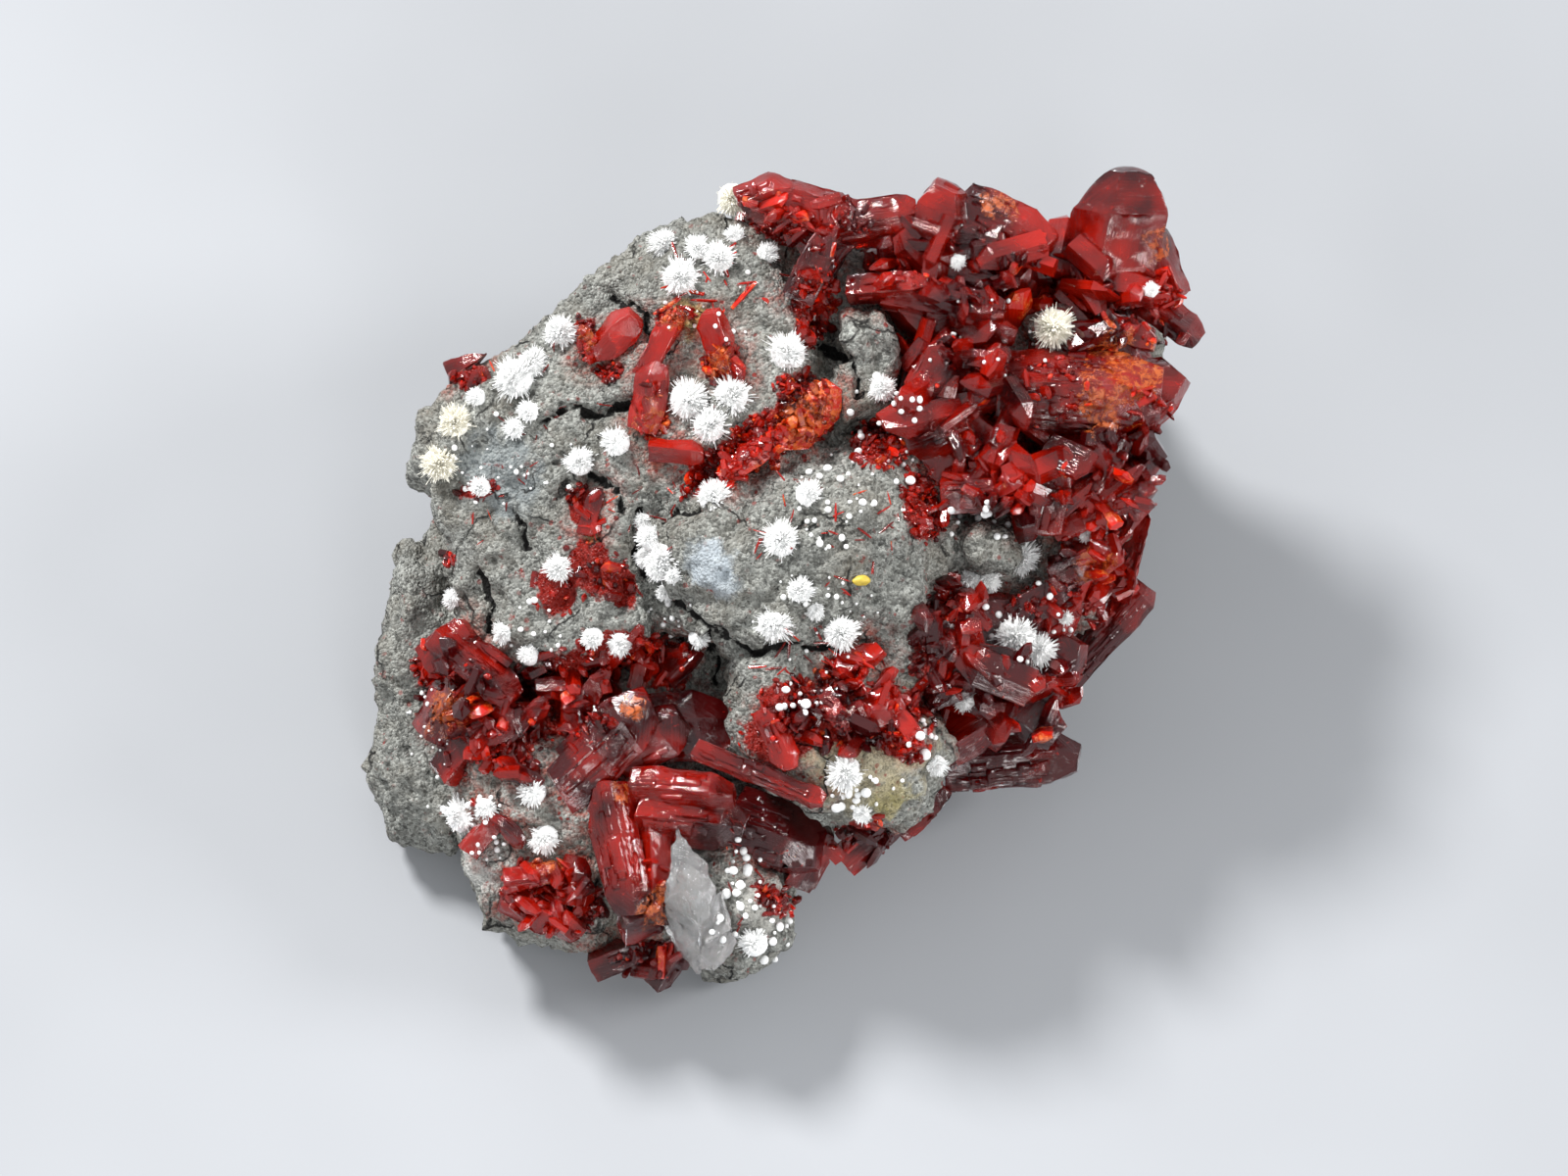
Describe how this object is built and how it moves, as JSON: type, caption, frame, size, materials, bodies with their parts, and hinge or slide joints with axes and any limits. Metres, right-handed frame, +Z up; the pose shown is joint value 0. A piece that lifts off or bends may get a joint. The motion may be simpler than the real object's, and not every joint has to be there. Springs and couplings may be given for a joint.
{
  "type": "realgar on matrix mineral specimen",
  "caption": "Lumpy grey rock with red realgar prisms, a thick red crystal crust along its side, white needle sprays and a pointed calcite crystal.",
  "frame": {"origin": "middle of the flat base that the specimen rests on", "axes": "+Z up out of the base; +X to the right along the crystal face, which leans 20 degrees towards -Y"},
  "size_m": [0.1039, 0.1012, 0.0537],
  "materials": {
    "rock": "rough sandy",
    "realgar": "glossy translucent",
    "calcite": "glossy milky clear",
    "needles": "silky matt"
  },
  "bodies": {
    "root": {"calcite_crystal": "calcite", "realgar_upper_left": "realgar", "realgar_upper_middle": "realgar", "realgar_upper_right": "realgar", "realgar_boat": "realgar", "realgar_orange_ridge": "realgar", "realgar_left_small": "realgar", "realgar_left_edge": "realgar", "realgar_lower_left": "realgar", "realgar_recess": "realgar", "realgar_hanging_left": "realgar", "realgar_hanging_right": "realgar", "realgar_dark_plate": "realgar", "realgar_lower_stack": "realgar", "realgar_long_splinter": "realgar", "realgar_under_middle": "realgar", "realgar_bottom_edge": "realgar", "realgar_bottom_left": "realgar", "realgar_fan_left": "realgar", "realgar_left_blaze": "realgar", "realgar_tablet": "realgar", "realgar_low_middle": "realgar", "realgar_below_spray": "realgar", "realgar_crust_top": "realgar", "realgar_crust_top_right": "realgar", "realgar_crust_middle": "realgar", "realgar_crust_right": "realgar", "realgar_right_point": "realgar", "realgar_crust_lower": "realgar", "realgar_crust_right_edge": "realgar", "realgar_crust_deep_red": "realgar", "realgar_under_slab": "realgar", "realgar_under_red": "realgar", "realgar_under_prism": "realgar", "spray_top": "needles", "spray_top_left": "needles", "spray_upper_ridge": "needles", "spray_upper_fan": "needles", "spray_upper_left": "needles", "spray_left_ridge": "needles", "spray_left_edge": "needles", "spray_left_edge_high": "needles", "spray_left_round": "needles", "spray_triple": "needles", "spray_upper_round": "needles", "spray_right_tuft": "needles", "spray_middle_left": "needles", "spray_centre": "needles", "spray_left_low": "needles", "spray_bulge_edge": "needles", "spray_lower_high": "needles", "spray_lower_left": "needles", "spray_lower_round": "needles", "spray_right_largest": "needles", "spray_island": "needles", "spray_right_low": "needles", "spray_low_round": "needles", "matrix": "rock"}
  },
  "joints": []
}
